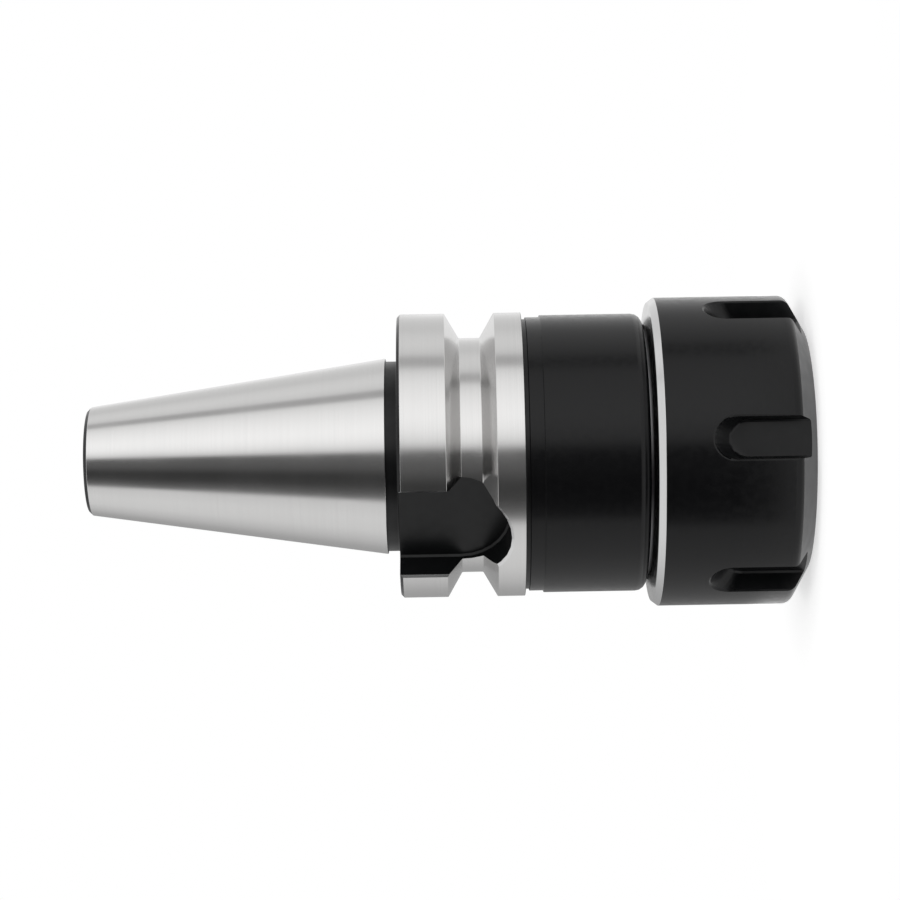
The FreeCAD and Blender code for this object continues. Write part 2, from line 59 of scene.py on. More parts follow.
print("frame loaded, taper's small end at", round(shankTop, 2), "mm")


def newGroup(name, inputs, outputs):
    group = bpy.data.node_groups.new(name, "ShaderNodeTree")
    for label, value in inputs:
        socket = group.interface.new_socket(name=label, in_out="INPUT", socket_type="NodeSocketFloat")
        socket.default_value = value
    for label, kind in outputs:
        group.interface.new_socket(name=label, in_out="OUTPUT", socket_type=kind)
    return group


def mathNode(nodes, links, operation, a, b=None, c=None, clamp=False):
    node = nodes.new("ShaderNodeMath")
    node.operation = operation
    node.use_clamp = clamp
    for socket, value in zip(node.inputs, (a, b, c)):
        if value is None:
            continue
        if isinstance(value, (int, float)):
            socket.default_value = value
        else:
            links.new(value, socket)
    return node.outputs[0]


def buildLatheMarks():
    # fine rings left by turning or grinding: they follow radius and height, and hardly change round the axis
    group = newGroup(
        "latheMarks",
        [("Rings per mm", 6.0), ("Wander", 0.25), ("Contrast", 1.0)],
        [("Height", "NodeSocketFloat"), ("Streaks", "NodeSocketFloat")],
    )
    nodes, links = group.nodes, group.links
    ins, outs = nodes.new("NodeGroupInput"), nodes.new("NodeGroupOutput")
    place = nodes.new("ShaderNodeTexCoord")
    split = nodes.new("ShaderNodeSeparateXYZ")
    links.new(place.outputs["Object"], split.inputs[0])
    flat = nodes.new("ShaderNodeCombineXYZ")
    links.new(split.outputs["X"], flat.inputs["X"])
    links.new(split.outputs["Y"], flat.inputs["Y"])
    reach = nodes.new("ShaderNodeVectorMath")
    reach.operation = "LENGTH"
    links.new(flat.outputs[0], reach.inputs[0])
    direction = nodes.new("ShaderNodeVectorMath")
    direction.operation = "NORMALIZE"
    links.new(flat.outputs[0], direction.inputs[0])
    around = nodes.new("ShaderNodeSeparateXYZ")
    links.new(direction.outputs[0], around.inputs[0])
    fine = mathNode(nodes, links, "MULTIPLY", ins.outputs["Rings per mm"], 1000.0)
    along = mathNode(nodes, links, "ADD", reach.outputs["Value"], split.outputs["Z"])
    across = mathNode(nodes, links, "SUBTRACT", reach.outputs["Value"], split.outputs["Z"])
    alongFine = mathNode(nodes, links, "MULTIPLY", along, fine)
    acrossFine = mathNode(nodes, links, "MULTIPLY", across, fine)
    wanderX = mathNode(nodes, links, "MULTIPLY", around.outputs["X"], ins.outputs["Wander"])
    wanderY = mathNode(nodes, links, "MULTIPLY", around.outputs["Y"], ins.outputs["Wander"])
    seat = nodes.new("ShaderNodeCombineXYZ")
    links.new(mathNode(nodes, links, "ADD", alongFine, wanderX), seat.inputs["X"])
    links.new(mathNode(nodes, links, "ADD", acrossFine, wanderX), seat.inputs["Y"])
    links.new(wanderY, seat.inputs["Z"])
    noise = nodes.new("ShaderNodeTexNoise")
    noise.inputs["Scale"].default_value = 1.0
    noise.inputs["Detail"].default_value = 3.0
    noise.inputs["Roughness"].default_value = 0.6
    links.new(seat.outputs[0], noise.inputs["Vector"])
    spread = nodes.new("ShaderNodeMapRange")
    spread.inputs["From Min"].default_value = 0.3
    spread.inputs["From Max"].default_value = 0.7
    links.new(noise.outputs["Fac"], spread.inputs["Value"])
    centred = mathNode(nodes, links, "SUBTRACT", spread.outputs[0], 0.5)
    scaled = mathNode(nodes, links, "MULTIPLY", centred, ins.outputs["Contrast"])
    links.new(mathNode(nodes, links, "ADD", scaled, 0.5, clamp=True), outs.inputs["Streaks"])
    links.new(noise.outputs["Fac"], outs.inputs["Height"])
    return group


def buildHandling():
    # soft, uneven film of oil and handling that lightly changes gloss
    group = newGroup(
        "handling",
        [("Size mm", 9.0), ("Low", 0.2), ("High", 0.3)],
        [("Roughness", "NodeSocketFloat")],
    )
    nodes, links = group.nodes, group.links
    ins, outs = nodes.new("NodeGroupInput"), nodes.new("NodeGroupOutput")
    place = nodes.new("ShaderNodeTexCoord")
    noise = nodes.new("ShaderNodeTexNoise")
    noise.inputs["Detail"].default_value = 4.0
    links.new(place.outputs["Object"], noise.inputs["Vector"])
    links.new(mathNode(nodes, links, "DIVIDE", 1000.0, ins.outputs["Size mm"]), noise.inputs["Scale"])
    spread = nodes.new("ShaderNodeMapRange")
    spread.inputs["From Min"].default_value = 0.35
    spread.inputs["From Max"].default_value = 0.65
    links.new(noise.outputs["Fac"], spread.inputs["Value"])
    links.new(ins.outputs["Low"], spread.inputs["To Min"])
    links.new(ins.outputs["High"], spread.inputs["To Max"])
    links.new(spread.outputs[0], outs.inputs["Roughness"])
    return group


latheMarks = buildLatheMarks()
handling = buildHandling()

# color, and the share of it that the darkest turning streak keeps; rough: least and most roughness;
# film: size of the oil patches in mm; rings: turning marks per mm; bump: their height in mm;
# grain: anisotropy
finishes = {
    "groundTaper": {
        "color": (0.67, 0.665, 0.66), "dark": 0.92, "metal": 1.0, "gloss": 0.5, "rough": (0.12, 0.16),
        "film": 9.0, "rings": 5.0, "wander": 0.35, "contrast": 0.45, "bump": 0.0003, "grain": 0.55,
    },
    "turnedFlange": {
        "color": (0.66, 0.655, 0.65), "dark": 0.9, "metal": 1.0, "gloss": 0.5, "rough": (0.14, 0.19),
        "film": 8.0, "rings": 4.0, "wander": 0.12, "contrast": 0.5, "bump": 0.0005, "grain": 0.5,
    },
    "brightEdge": {
        "color": (0.7, 0.7, 0.7), "dark": 0.88, "metal": 1.0, "gloss": 0.5, "rough": (0.16, 0.22),
        "film": 5.0, "rings": 5.0, "wander": 0.2, "contrast": 0.5, "bump": 0.0004, "grain": 0.4,
    },
    "blackOxide": {
        "color": (0.0052, 0.0053, 0.006), "dark": 0.75, "metal": 0.0, "gloss": 0.24, "rough": (0.17, 0.26),
        "film": 1.1, "rings": 3.0, "wander": 0.2, "contrast": 0.8, "bump": 0.0004, "grain": 0.0,
    },
    "blackSlot": {
        "color": (0.0056, 0.006, 0.0066), "dark": 0.75, "metal": 0.0, "gloss": 0.3, "rough": (0.3, 0.38),
        "film": 1.6, "rings": 2.0, "wander": 0.2, "contrast": 0.5, "bump": 0.0005, "grain": 0.0,
    },
    # black oxide of the nut's front ring and cone: its colour is lifted above the other black oxide as
    # painted sheen, standing in for the grey reflection the cone shows at a grazing angle; its gloss is real
    "frontOxidePaintedSheen": {
        "color": (0.03, 0.031, 0.033), "dark": 0.8, "metal": 0.0, "gloss": 0.75, "rough": (0.28, 0.36),
        "film": 2.5, "rings": 4.0, "wander": 0.2, "contrast": 0.8, "bump": 0.0008, "grain": 0.0,
    },
    "springSteel": {
        "color": (0.6, 0.6, 0.61), "dark": 0.85, "metal": 1.0, "gloss": 0.5, "rough": (0.2, 0.28),
        "film": 6.0, "rings": 5.0, "wander": 0.3, "contrast": 0.7, "bump": 0.0006, "grain": 0.4,
    },
    "boredSteel": {
        "color": (0.42, 0.42, 0.43), "dark": 0.75, "metal": 1.0, "gloss": 0.5, "rough": (0.3, 0.4),
        "film": 6.0, "rings": 4.0, "wander": 0.2, "contrast": 0.9, "bump": 0.001, "grain": 0.3,
    },
}


def buildFinish(name, values):
    material = bpy.data.materials.new(name)
    material.use_nodes = True
    nodes, links = material.node_tree.nodes, material.node_tree.links
    steel = nodes["Principled BSDF"]
    steel.inputs["Metallic"].default_value = values["metal"]
    steel.inputs["Anisotropic"].default_value = values["grain"]
    steel.inputs["Specular IOR Level"].default_value = values["gloss"]
    marks = nodes.new("ShaderNodeGroup")
    marks.node_tree = latheMarks
    marks.inputs["Rings per mm"].default_value = values["rings"]
    marks.inputs["Wander"].default_value = values["wander"]
    marks.inputs["Contrast"].default_value = values["contrast"]
    film = nodes.new("ShaderNodeGroup")
    film.node_tree = handling
    film.inputs["Size mm"].default_value = values["film"]
    film.inputs["Low"].default_value, film.inputs["High"].default_value = values["rough"]
    blend = nodes.new("ShaderNodeMix")
    blend.data_type = "RGBA"
    blend.inputs["A"].default_value = [c * values["dark"] for c in values["color"]] + [1]
    blend.inputs["B"].default_value = list(values["color"]) + [1]
    links.new(marks.outputs["Streaks"], blend.inputs["Factor"])
    links.new(blend.outputs["Result"], steel.inputs["Base Color"])
    links.new(film.outputs["Roughness"], steel.inputs["Roughness"])
    bump = nodes.new("ShaderNodeBump")
    bump.inputs["Strength"].default_value = 1.0
    bump.inputs["Distance"].default_value = values["bump"] * mm
    links.new(marks.outputs["Height"], bump.inputs["Height"])
    links.new(bump.outputs["Normal"], steel.inputs["Normal"])
    if values["grain"]:
        tangent = nodes.new("ShaderNodeTangent")
        tangent.direction_type = "RADIAL"
        tangent.axis = "Z"
        links.new(tangent.outputs[0], steel.inputs["Tangent"])
    return material


materials = {name: buildFinish(name, values) for name, values in finishes.items()}
print("finishes ready:", ", ".join(materials))


def roundCorners(corners, steps=4):
    # a corner is its radius, its height, the size of its round, the finish of the face that leaves it,
    # and the finish of the round
    points = []
    count = len(corners)
    for i, (r, z, size, finish, edgeFinish) in enumerate(corners):
        here = Vector((r, z))
        back = Vector(corners[i - 1][:2])
        ahead = Vector(corners[(i + 1) % count][:2])
        if not size:
            points.append((here, finish))
            continue
        toBack, toAhead = (back - here).normalized(), (ahead - here).normalized()
        angle = toBack.angle(toAhead)
        cut = size / math.tan(angle / 2)
        centre = here + (toBack + toAhead).normalized() * (size / math.sin(angle / 2))
        first, last = here + toBack * cut - centre, here + toAhead * cut - centre
        turnBy = first.angle_signed(last)
        for k in range(steps + 1):
            share = -turnBy * k / steps
            spoke = Vector((first.x * math.cos(share) - first.y * math.sin(share),
                            first.x * math.sin(share) + first.y * math.cos(share)))
            points.append((centre + spoke, edgeFinish if k < steps else finish))
    return points


def latheMesh(name, corners, segments):
    points = roundCorners(corners)
    slots = []
    for _, finish in points:
        if finish not in slots:
            slots.append(finish)
    shape = bmesh.new()
    rings = []
    for point, _ in points:
        ring = []
        for k in range(segments):
            reach, angle = point.x * mm, 2 * math.pi * (k + 0.5) / segments
            ring.append(shape.verts.new((reach * math.cos(angle), reach * math.sin(angle), point.y * mm)))
        rings.append(ring)
    for i, (_, finish) in enumerate(points):
        lower, upper = rings[i], rings[(i + 1) % len(rings)]
        for k in range(segments):
            n = (k + 1) % segments
            face = shape.faces.new((lower[k], lower[n], upper[n], upper[k]))
            face.material_index = slots.index(finish)
    bmesh.ops.recalc_face_normals(shape, faces=shape.faces)
    mesh = bpy.data.meshes.new(name)
    shape.to_mesh(mesh)
    shape.free()
    for finish in slots:
        mesh.materials.append(materials[finish])
    piece = bpy.data.objects.new(name, mesh)
    bpy.context.collection.objects.link(piece)
    return piece, points


def slotOutline(halfWidth, roundEnd, openEnd, steps=14):
    # a slot seen face on: (across, up), from its open end round its half-round end and back
    sense = 1 if roundEnd > openEnd else -1
    centre = roundEnd - sense * halfWidth
    outline = [(-halfWidth, openEnd)]
    for k in range(steps + 1):
        angle = math.pi * (1 - k / steps)
        outline.append((halfWidth * math.cos(angle), centre + sense * halfWidth * math.sin(angle)))
    outline.append((halfWidth, openEnd))
    return outline


def skinCutter(name, rings, turns, finishNames):
    # closed solids through outlines of equal count, one solid for each turn
    # a ring is its outline, its distance from the axis, and whether it curves round the axis or is flat
    shape = bmesh.new()
    for turnBy in turns:
        spin = Matrix.Rotation(math.radians(turnBy), 3, "Z")
        made = []
        for outline, level, curved in rings:
            ring = []
            for across, up in outline:
                out = math.sqrt(level * level - across * across) if curved else level
                ring.append(shape.verts.new(spin @ Vector((out * mm, across * mm, up * mm))))
            made.append(ring)
        count = len(made[0])
        shape.faces.new(made[0]).material_index = 0
        for lower, upper in zip(made, made[1:]):
            for k in range(count):
                n = (k + 1) % count
                face = shape.faces.new((lower[k], lower[n], upper[n], upper[k]))
                face.material_index = len(finishNames) - 1
        shape.faces.new(made[-1])
    bmesh.ops.recalc_face_normals(shape, faces=shape.faces)
    bmesh.ops.triangulate(shape, faces=[f for f in shape.faces if len(f.verts) > 4])
    mesh = bpy.data.meshes.new(name)
    shape.to_mesh(mesh)
    shape.free()
    for finish in finishNames:
        mesh.materials.append(materials[finish])
    cutter = bpy.data.objects.new(name, mesh)
    bpy.context.collection.objects.link(cutter)
    return cutter


def plateCutter(name, outline, bottom, top, finish):
    # an upright solid over a plan outline
    shape = bmesh.new()
    low = [shape.verts.new((x * mm, y * mm, bottom * mm)) for x, y in outline]
    high = [shape.verts.new((x * mm, y * mm, top * mm)) for x, y in outline]
    count = len(outline)
    for k in range(count):
        n = (k + 1) % count
        shape.faces.new((low[k], low[n], high[n], high[k]))
    shape.faces.new(low)
    shape.faces.new(high)
    bmesh.ops.recalc_face_normals(shape, faces=shape.faces)
    mesh = bpy.data.meshes.new(name)
    shape.to_mesh(mesh)
    shape.free()
    mesh.materials.append(materials[finish])
    cutter = bpy.data.objects.new(name, mesh)
    bpy.context.collection.objects.link(cutter)
    return cutter


def cutAway(piece, cutters):
    for cutter in cutters:
        step = piece.modifiers.new(cutter.name, "BOOLEAN")
        step.operation = "DIFFERENCE"
        step.object = cutter
        step.solver = "EXACT"
        step.material_mode = "TRANSFER"
    bpy.context.view_layer.update()
    seen = piece.evaluated_get(bpy.context.evaluated_depsgraph_get())
    result = bpy.data.meshes.new_from_object(seen)
    piece.modifiers.clear()
    old = piece.data
    piece.data = result
    bpy.data.meshes.remove(old)
    for cutter in cutters:
        bpy.data.objects.remove(cutter)


smoothing = {
    "tiny": 1e-6,        # lengths below this count as none
    "shortFace": 1.2,    # a face of a round is shorter than this along the profile, in mm
    "roundTurn": 30,     # and turns from its neighbour by less than this, in degrees
    "sideLean": 0.06,    # how far a turned face's normal may point along the turning direction
    "match": 0.995,      # how well it agrees with its cone's normal at least
    "offset": 0.03,      # how far it may lie from that cone, in mm
    "overhang": 0.02,    # and past the cone's ends, as a share of its length
    "milledTurn": 35,    # milled faces are smoothed across smaller angles than this, in degrees
}


def profileRuns(points, v):
    # the straight stretches of a turned profile, with the normal at each end
    runs = []
    for i, (start, _) in enumerate(points):
        along = points[(i + 1) % len(points)][0] - start
        if along.length < v["tiny"]:
            continue
        normal = Vector((along.y, -along.x)).normalized()
        runs.append({"start": start, "along": along, "length": along.length, "normal": normal})

    def sharedNormal(run, neighbour):
        # neighbours that turn by a little belong to one round
        gentle = neighbour["normal"].angle(run["normal"]) < math.radians(v["roundTurn"])
        short = max(run["length"], neighbour["length"]) < v["shortFace"]
        return (neighbour["normal"] + run["normal"]).normalized() if gentle and short else run["normal"]

    for i, run in enumerate(runs):
        run["first"] = sharedNormal(run, runs[i - 1])
        run["last"] = sharedNormal(run, runs[(i + 1) % len(runs)])
    return runs


def shareAlong(run, spot):
    return (spot - run["start"]).dot(run["along"]) / (run["length"] * run["length"])


def runUnder(face, runs, v):
    # the stretch of the profile that a face was turned with, or none for a milled face
    centre, normal = face.center, face.normal
    reach = math.hypot(centre.x, centre.y)
    if reach < v["tiny"]:
        return None
    outward = Vector((centre.x, centre.y, 0)) / reach
    if abs(normal.dot(Vector((-outward.y, outward.x, 0)))) > v["sideLean"]:
        return None
    flat = Vector((normal.dot(outward), normal.z))
    spot = Vector((reach / mm, centre.z / mm))
    best, nearest = None, v["offset"]
    for run in runs:
        if abs(flat.dot(run["normal"])) < v["match"]:
            continue
        if not -v["overhang"] <= shareAlong(run, spot) <= 1 + v["overhang"]:
            continue
        gap = abs((spot - run["start"]).dot(run["normal"]))
        if gap < nearest:
            best, nearest = run, gap
    return best


def smoothTurned(piece, points, v):
    # turned faces get the exact normals of their cone, and milled faces are smoothed across small angles only
    mesh = piece.data
    runs = profileRuns(points, v)
    turned = {face.index: runUnder(face, runs, v) for face in mesh.polygons}
    shares = {}
    for face in mesh.polygons:
        if turned[face.index]:
            continue
        for vertex in face.vertices:
            shares.setdefault(vertex, []).append((face.normal.copy(), face.area))
    limit = math.cos(math.radians(v["milledTurn"]))
    normals = [Vector((0, 0, 1))] * len(mesh.loops)
    for face in mesh.polygons:
        run = turned[face.index]
        for loopIndex in face.loop_indices:
            vertex = mesh.loops[loopIndex].vertex_index
            place = mesh.vertices[vertex].co
            if run:
                reach = max(math.hypot(place.x, place.y), v["tiny"])
                share = min(max(shareAlong(run, Vector((reach / mm, place.z / mm))), 0), 1)
                profile = (run["first"] * (1 - share) + run["last"] * share).normalized()
                exact = Vector((profile.x * place.x / reach, profile.x * place.y / reach, profile.y))
                normals[loopIndex] = -exact if exact.dot(face.normal) < 0 else exact
            else:
                total = Vector((0, 0, 0))
                for normal, area in shares[vertex]:
                    if normal.dot(face.normal) > limit:
                        total += normal * area
                normals[loopIndex] = total.normalized() if total.length > 0 else face.normal.copy()
        face.use_smooth = True
    mesh.normals_split_custom_set(normals)


threadForm = {
    "flank": 30,         # degrees
    "runOut": 0.4,       # turns over which each end fades
    "leastRise": 0.02,   # share of the height that is left at the very end
    "sharpTurn": 35,     # degrees
}


def threadRidge(name, values, finish, form):
    # a helical ridge: root and crest radii, from one height to another, with both ends run out
    pitch, steps, flat = values["pitch"], values["steps"], values["flat"] / 2
    total = int((values["top"] - values["bottom"]) / pitch * steps)
    foot = flat + abs(values["crest"] - values["root"]) * math.tan(math.radians(form["flank"]))
    fadeSteps = form["runOut"] * steps
    shape = bmesh.new()
    rows = []
    for k in range(total + 1):
        angle = 2 * math.pi * k / steps
        height = values["bottom"] + pitch * k / steps
        fade = min(1, k / fadeSteps, (total - k) / fadeSteps)
        crest = values["root"] + (values["crest"] - values["root"]) * max(fade, form["leastRise"])
        row = []
        for reach, lift in ((values["root"], -foot), (crest, -flat), (crest, flat), (values["root"], foot)):
            x, y = reach * mm * math.cos(angle), reach * mm * math.sin(angle)
            row.append(shape.verts.new((x, y, (height + lift) * mm)))
        rows.append(row)
    for a, b in zip(rows, rows[1:]):
        for j in range(3):
            shape.faces.new((a[j], a[j + 1], b[j + 1], b[j]))
        shape.faces.new((a[3], a[0], b[0], b[3]))
    shape.faces.new(rows[0])
    shape.faces.new(list(reversed(rows[-1])))
    bmesh.ops.recalc_face_normals(shape, faces=shape.faces)
    mesh = bpy.data.meshes.new(name)
    shape.to_mesh(mesh)
    shape.free()
    mesh.materials.append(materials[finish])
    for face in mesh.polygons:
        face.use_smooth = True
    mesh.set_sharp_from_angle(angle=math.radians(form["sharpTurn"]))
    piece = bpy.data.objects.new(name, mesh)
    bpy.context.collection.objects.link(piece)
    return piece


# what the three pieces share where they meet, in mm and degrees
seating = {
    "colletFace": 0.5,    # height of the collet's face above the nut's
    "head": 15.9,         # radius of the collet's head
    "headCone": 5.0,
    "headSlope": 30,
    "headLength": 8.8,    # collet's face to the start of its long cone
    "longCone": 16.5,     # radius where the long cone starts
    "longSlope": 8,
}
headSlope = math.tan(math.radians(seating["headSlope"]))
faceRadius = seating["head"] - seating["headCone"] * headSlope


def longConeRadius(height):
    drop = height - seating["colletFace"] - seating["headLength"]
    return seating["longCone"] - drop * math.tan(math.radians(seating["longSlope"]))


# radii, and stations measured from the gauge line towards the nut, in mm
holderLook = {
    "segments": 224,
    "taperLength": 48.4,
    "smallEnd": 8.82,
    "smallChamfer": 0.6,
    "gaugeRadius": 15.875,
    "neck": 15.4,
    "flange": 23.0,
    "flangeRear": 2.0,
    "flangeChamfer": 0.5,
    "grooveBack": 9.6,
    "grooveFront": 17.6,
    "grooveRoot": 19.0,
    "grooveSlope": 30,    # degrees
    "flangeFront": 22.0,
    "relief": 21.9,
    "reliefEnd": 22.7,
    "collar": 22.2,
    "collarEnd": 25.0,
    "barrel": 22.5,
    "barrelEnd": 41.5,
    "barrelRound": 1.7,
    "seat": 20.0,
    "seatEnd": 42.7,
    "threadRoot": 19.1,
    "threadStart": 43.2,
    "threadEnd": 56.3,
    "noseLead": 0.6,
    "noseEnd": 57.15,
    "mouthChamfer": 0.5,
    "socketPlay": 0.08,
    "socketFloor": 42.5,  # height above the table
    "bore": 5.1,
    "tapped": 6.05,
    "tapEnd": 24.5,       # depths below the small end
    "boreTop": 25.5,
    "pilot": 6.25,
    "pilotDepth": 7.0,
    "pilotChamfer": 0.8,
    "slotHalfWidth": 8.05,
    "slotFloor": 16.3,
    "slotEnd": 19.7,
    "slotMouth": 1.0,
    "slotBevel": 0.4,
    "slotCorner": 0.3,    # small facet between a drive slot's floor and wall
    "slotReach": 26.0,
    "bevelInset": 0.2,
    "bevelOverrun": 0.3,
}
gauge = shankTop - holderLook["taperLength"]  # height of the taper's gauge line


def holderCorners(v):
    g = gauge
    mouth = longConeRadius(g - v["noseEnd"]) + v["socketPlay"]
    foot = longConeRadius(v["socketFloor"]) + v["socketPlay"]
    grooveRise = (v["flange"] - v["grooveRoot"]) * math.tan(math.radians(v["grooveSlope"]))
    return [
        (v["pilot"] + v["pilotChamfer"], shankTop, 0.1, "boredSteel", "boredSteel"),
        (v["smallEnd"] - v["smallChamfer"], shankTop, 0.1, "blackSlot", "blackSlot"),
        (v["smallEnd"], shankTop - v["smallChamfer"], 0.12, "groundTaper", "brightEdge"),
        (v["gaugeRadius"], g, 0.08, "blackSlot", "groundTaper"),
        (v["neck"], g, 0, "blackSlot", "blackSlot"),
        (v["neck"], g - v["flangeRear"], 0.3, "blackOxide", "blackSlot"),
        (v["flange"] - v["flangeChamfer"], g - v["flangeRear"], 0.1, "blackOxide", "blackOxide"),
        (v["flange"], g - v["flangeRear"] - v["flangeChamfer"], 0.1, "turnedFlange", "turnedFlange"),
        (v["flange"], g - v["grooveBack"], 0.12, "turnedFlange", "turnedFlange"),
        (v["grooveRoot"], g - v["grooveBack"] - grooveRise, 0.25, "turnedFlange", "turnedFlange"),
        (v["grooveRoot"], g - v["grooveFront"] + grooveRise, 0.25, "turnedFlange", "turnedFlange"),
        (v["flange"], g - v["grooveFront"], 0.12, "turnedFlange", "turnedFlange"),
        (v["flange"], g - v["flangeFront"], 0.1, "blackOxide", "blackOxide"),
        (v["relief"], g - v["flangeFront"], 0.1, "blackSlot", "blackSlot"),
        (v["relief"], g - v["reliefEnd"], 0.1, "blackSlot", "blackSlot"),
        (v["collar"], g - v["reliefEnd"], 0.08, "blackOxide", "blackOxide"),
        (v["collar"], g - v["collarEnd"], 0.08, "blackOxide", "blackOxide"),
        (v["barrel"], g - v["collarEnd"], 0.08, "blackOxide", "blackOxide"),
        (v["barrel"], g - v["barrelEnd"], v["barrelRound"], "blackOxide", "blackOxide"),
        (v["seat"], g - v["barrelEnd"], 0.1, "boredSteel", "boredSteel"),
        (v["seat"], g - v["seatEnd"], 0.1, "boredSteel", "boredSteel"),
        (v["threadRoot"], g - v["threadStart"], 0.1, "boredSteel", "boredSteel"),
        (v["threadRoot"], g - v["threadEnd"], 0.1, "boredSteel", "boredSteel"),
        (v["threadRoot"] - v["noseLead"], g - v["noseEnd"], 0.1, "boredSteel", "boredSteel"),
        (mouth + v["mouthChamfer"], g - v["noseEnd"], 0.08, "boredSteel", "boredSteel"),
        (mouth, g - v["noseEnd"] + v["mouthChamfer"], 0.08, "springSteel", "springSteel"),
        (foot, v["socketFloor"], 0.2, "boredSteel", "boredSteel"),
        (v["bore"], v["socketFloor"], 0.1, "boredSteel", "boredSteel"),
        (v["bore"], shankTop - v["boreTop"], 0.2, "boredSteel", "boredSteel"),
        (v["tapped"], shankTop - v["tapEnd"], 0.1, "boredSteel", "boredSteel"),
        (v["tapped"], shankTop - v["pilotDepth"], 0.05, "boredSteel", "boredSteel"),
        (v["pilot"], shankTop - v["pilotDepth"], 0.05, "boredSteel", "boredSteel"),
        (v["pilot"], shankTop - v["pilotChamfer"], 0.08, "boredSteel", "boredSteel"),
    ]


def driveSlotCutters(v):
    turns = (-90, 90)
    half, end, mouth = v["slotHalfWidth"], gauge - v["slotEnd"], gauge - v["slotMouth"]
    floor, corner, bevel = v["slotFloor"], v["slotCorner"], v["slotBevel"]
    inset, overrun = v["bevelInset"], v["bevelOverrun"]
    slot = slotOutline(half, end, mouth)
    footing = slotOutline(half - corner, end + corner, mouth)
    inner = slotOutline(half - inset, end + inset, mouth)
    outer = slotOutline(half + bevel + overrun, end - bevel - overrun, mouth)
    slotRings = [(footing, floor, False), (slot, floor + corner, False), (slot, v["slotReach"], False)]
    bevelRings = [(inner, v["flange"] - bevel - inset, True), (outer, v["flange"] + overrun, True)]
    return [
        skinCutter("driveSlots", slotRings, turns, ["blackSlot", "blackSlot"]),
        skinCutter("driveSlotBevels", bevelRings, turns, ["brightEdge", "brightEdge"]),
    ]


# each ridge: radii of its root and crest, width of its crest, pitch, steps a turn, and its two ends
holderThreads = {
    "noseThread": {"root": 19.05, "crest": 19.95, "flat": 0.18, "pitch": 1.5, "steps": 96,
                   "bottom": gauge - 56.4, "top": gauge - 43.4},
    "studThread": {"root": 6.1, "crest": 5.15, "flat": 0.22, "pitch": 1.75, "steps": 64,
                   "bottom": shankTop - 24.3, "top": shankTop - 7.2},
}


def buildHolder(v, threads):
    piece, points = latheMesh("holderSteel", holderCorners(v), v["segments"])
    cutAway(piece, driveSlotCutters(v))
    smoothTurned(piece, points, smoothing)
    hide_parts("holder_body")
    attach(piece, "holder")
    for name, values in threads.items():
        ridge = threadRidge(name, values, "boredSteel", threadForm)
        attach(ridge, "holder")


buildHolder(holderLook, holderThreads)
print("holder built")

# radii, and heights above the nut's front face, in mm
nutLook = {
    "segments": 240,
    "outside": 25.0,
    "face": 19.6,         # outer radius of the flat front ring
    "frontSlope": 30,     # degrees
    "frontRound": 1.5,
    "holePlay": 0.15,
    "holeChamfer": 0.25,
    "coneEnd": 0.56,
    "conePlay": 0.115,
    "undercut": 17.2,
    "undercutFoot": 4.8,
    "lipFoot": 6.1,
    "lipTop": 8.3,
    "blankLip": 15.0,     # radius of the lip before its off-centre opening is cut
    "lipBore": 16.25,
    "lipOffset": 0.75,
    "lipOverrun": 0.5,
    "relief": 20.2,
    "threadFoot": 10.95,
    "threadRoot": 20.05,
    "counterbore": 20.7,
    "counterboreDepth": 1.0,
    "rearChamfer": (0.8, 1.05),  # depth and height of the bright chamfer
    "rearSlope": 9.5,     # degrees that the rear face falls outwards
    "slots": 6,
    "firstSlot": 9.8,     # degrees from +X
    "slotFloor": 21.5,
    "floorHalfWidth": 2.925,
    "mouthHalfWidth": 3.4,
    "floorEnd": 13.9,
    "mouthEnd": 16.6,
    "slotReach": 25.6,
    "slotBevel": 0.2,
    "slotCorner": 0.25,
    "bevelInset": 0.15,
    "bevelOverrun": 0.2,
    "thread": {"root": 20.1, "crest": 19.2, "flat": 0.2, "pitch": 1.5, "steps": 96,
               "bottom": 11.4, "top": nutTop - 1.4},
}


def nutCorners(v):
    hole = faceRadius + v["holePlay"]
    frontFoot = (v["outside"] - v["face"]) * math.tan(math.radians(v["frontSlope"]))
    coneTop = faceRadius + (v["undercutFoot"] - seating["colletFace"]) * headSlope + v["conePlay"]
    chamferDepth, chamferHeight = v["rearChamfer"]
    chamferTop = v["outside"] - chamferDepth
    rearEdge = nutTop - (chamferTop - v["counterbore"]) * math.tan(math.radians(v["rearSlope"]))
    counterboreFloor = nutTop - v["counterboreDepth"]
    return [
        # the front ring and cone take the black oxide whose lighter colour is painted sheen
        (hole + v["holeChamfer"], 0, 0.06, "frontOxidePaintedSheen", "brightEdge"),
        (v["face"], 0, 0.4, "frontOxidePaintedSheen", "frontOxidePaintedSheen"),
        (v["outside"], frontFoot, v["frontRound"], "blackOxide", "blackOxide"),
        (v["outside"], rearEdge - chamferHeight, 0.08, "brightEdge", "brightEdge"),
        (chamferTop, rearEdge, 0.08, "brightEdge", "brightEdge"),
        (v["counterbore"], nutTop, 0.1, "boredSteel", "brightEdge"),
        (v["counterbore"], counterboreFloor, 0.1, "boredSteel", "boredSteel"),
        (v["threadRoot"], counterboreFloor, 0, "boredSteel", "boredSteel"),
        (v["threadRoot"], v["threadFoot"], 0, "boredSteel", "boredSteel"),
        (v["relief"], v["threadFoot"], 0, "boredSteel", "boredSteel"),
        (v["relief"], v["lipTop"], 0.1, "boredSteel", "boredSteel"),
        (v["blankLip"], v["lipTop"], 0, "boredSteel", "boredSteel"),
        (v["blankLip"], v["lipFoot"], 0, "boredSteel", "boredSteel"),
        (v["undercut"], v["lipFoot"], 0.1, "boredSteel", "boredSteel"),
        (v["undercut"], v["undercutFoot"], 0.1, "boredSteel", "boredSteel"),
        (coneTop, v["undercutFoot"], 0.1, "springSteel", "springSteel"),
        (hole, v["coneEnd"], 0, "boredSteel", "boredSteel"),
        (hole, v["holeChamfer"], 0.05, "boredSteel", "boredSteel"),
    ]


